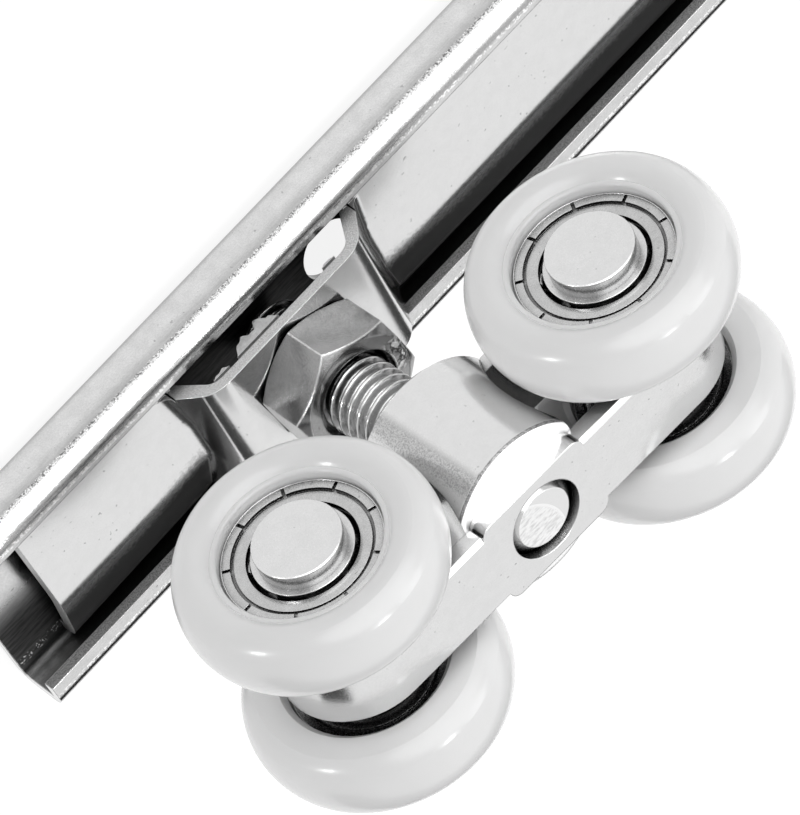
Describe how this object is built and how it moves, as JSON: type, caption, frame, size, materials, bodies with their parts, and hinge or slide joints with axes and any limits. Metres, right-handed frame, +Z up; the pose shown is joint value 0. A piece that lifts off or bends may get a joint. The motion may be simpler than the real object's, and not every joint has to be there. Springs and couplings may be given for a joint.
{
  "type": "sliding door hanger roller",
  "caption": "Ball-bearing roller carriage with a swivelling hanger bolt, lock nut and hat plate that slides in a C-channel for a sliding door's top edge.",
  "frame": {"origin": "middle of the channel's underside", "axes": "+X along the channel towards the end nearer the carriage, +Z up from the door's top edge towards the track, +Y across the channel"},
  "size_m": [0.15, 0.0308, 0.0476],
  "materials": {
    "channel_steel": "bright zinc plate, fine grain",
    "plate_steel": "bright zinc plate, rough sheared edges",
    "nut_steel": "smooth zinc plate",
    "bolt_steel": "zinc plate",
    "barrel_steel": "turned and zinc plated",
    "frame_steel": "bright nickel plate",
    "axle_steel": "bright nickel plate",
    "bush_steel": "turned steel",
    "bearing_steel": "ground steel",
    "shield_steel": "pressed sheet, satin",
    "cage_steel": "pressed sheet",
    "ball_steel": "polished",
    "white_nylon": "moulded, slightly translucent"
  },
  "bodies": {
    "channel": {"mounting_channel": "channel_steel"},
    "hanger": {"hanger_plate": "plate_steel"},
    "nut": {"clamp_nut": "nut_steel"},
    "swivel_seat": {"thrust_washer": "bearing_steel"},
    "bolt": {"hanger_bolt": "bolt_steel"},
    "carriage": {"barrel": "barrel_steel", "carriage_frame": "frame_steel", "axle_front": "axle_steel", "axle_rear": "axle_steel", "axle_bush_front": "bush_steel", "axle_bush_rear": "bush_steel", "inner_ring_front_left": "bearing_steel", "inner_ring_front_right": "bearing_steel", "inner_ring_rear_left": "bearing_steel", "inner_ring_rear_right": "bearing_steel"},
    "wheel_front_left": {"tyre_front_left": "white_nylon", "outer_ring_front_left": "bearing_steel", "outer_shield_front_left": "shield_steel", "inner_shield_front_left": "shield_steel"},
    "ball_set_front_left": {"cage_front_left": "cage_steel", "balls_front_left": "ball_steel"},
    "wheel_front_right": {"tyre_front_right": "white_nylon", "outer_ring_front_right": "bearing_steel", "outer_shield_front_right": "shield_steel", "inner_shield_front_right": "shield_steel"},
    "ball_set_front_right": {"cage_front_right": "cage_steel", "balls_front_right": "ball_steel"},
    "wheel_rear_left": {"tyre_rear_left": "white_nylon", "outer_ring_rear_left": "bearing_steel", "outer_shield_rear_left": "shield_steel", "inner_shield_rear_left": "shield_steel"},
    "ball_set_rear_left": {"cage_rear_left": "cage_steel", "balls_rear_left": "ball_steel"},
    "wheel_rear_right": {"tyre_rear_right": "white_nylon", "outer_ring_rear_right": "bearing_steel", "outer_shield_rear_right": "shield_steel", "inner_shield_rear_right": "shield_steel"},
    "ball_set_rear_right": {"cage_rear_right": "cage_steel", "balls_rear_right": "ball_steel"}
  },
  "joints": [
    {"name": "plate_slide", "type": "slide", "parent": "channel", "child": "hanger", "axis": [1, 0, 0], "range_m": [-0.044, 0.0055]},
    {"name": "nut_backoff", "type": "slide", "parent": "hanger", "child": "nut", "axis": [0, 0, 1], "range_m": [0, 0.0065]},
    {"name": "height_adjust", "type": "slide", "parent": "hanger", "child": "swivel_seat", "axis": [0, 0, 1], "range_m": [-0.0015, 0.005]},
    {"name": "bolt_turn", "type": "hinge", "parent": "swivel_seat", "child": "bolt", "pos_m": [0.0363, 0, 0.02], "axis": [0, 0, 1], "range_deg": [-432, 1440]},
    {"name": "carriage_swivel", "type": "hinge", "parent": "swivel_seat", "child": "carriage", "pos_m": [0.0363, 0, 0.0345], "axis": [0, 0, 1], "continuous": true},
    {"name": "wheel_spin_front_left", "type": "hinge", "parent": "carriage", "child": "wheel_front_left", "pos_m": [0.05612, 0.00861, 0.0346], "axis": [0.0523, 0.9986, 0], "continuous": true},
    {"name": "ball_orbit_front_left", "type": "hinge", "parent": "carriage", "child": "ball_set_front_left", "pos_m": [0.05612, 0.00861, 0.0346], "axis": [0.0523, 0.9986, 0], "continuous": true},
    {"name": "wheel_spin_front_right", "type": "hinge", "parent": "carriage", "child": "wheel_front_right", "pos_m": [0.05511, -0.01064, 0.0346], "axis": [0.0523, 0.9986, 0], "continuous": true},
    {"name": "ball_orbit_front_right", "type": "hinge", "parent": "carriage", "child": "ball_set_front_right", "pos_m": [0.05511, -0.01064, 0.0346], "axis": [0.0523, 0.9986, 0], "continuous": true},
    {"name": "wheel_spin_rear_left", "type": "hinge", "parent": "carriage", "child": "wheel_rear_left", "pos_m": [0.01749, 0.01064, 0.0346], "axis": [0.0523, 0.9986, 0], "continuous": true},
    {"name": "ball_orbit_rear_left", "type": "hinge", "parent": "carriage", "child": "ball_set_rear_left", "pos_m": [0.01749, 0.01064, 0.0346], "axis": [0.0523, 0.9986, 0], "continuous": true},
    {"name": "wheel_spin_rear_right", "type": "hinge", "parent": "carriage", "child": "wheel_rear_right", "pos_m": [0.01648, -0.00861, 0.0346], "axis": [0.0523, 0.9986, 0], "continuous": true},
    {"name": "ball_orbit_rear_right", "type": "hinge", "parent": "carriage", "child": "ball_set_rear_right", "pos_m": [0.01648, -0.00861, 0.0346], "axis": [0.0523, 0.9986, 0], "continuous": true}
  ],
  "couplings": [
    {"joint": "bolt_turn", "follows": "height_adjust", "rad_per_m": 5026.5},
    {"joint": "ball_orbit_front_left", "follows": "wheel_spin_front_left", "ratio": 0.59333},
    {"joint": "ball_orbit_front_right", "follows": "wheel_spin_front_right", "ratio": 0.59333},
    {"joint": "ball_orbit_rear_left", "follows": "wheel_spin_rear_left", "ratio": 0.59333},
    {"joint": "ball_orbit_rear_right", "follows": "wheel_spin_rear_right", "ratio": 0.59333}
  ]
}
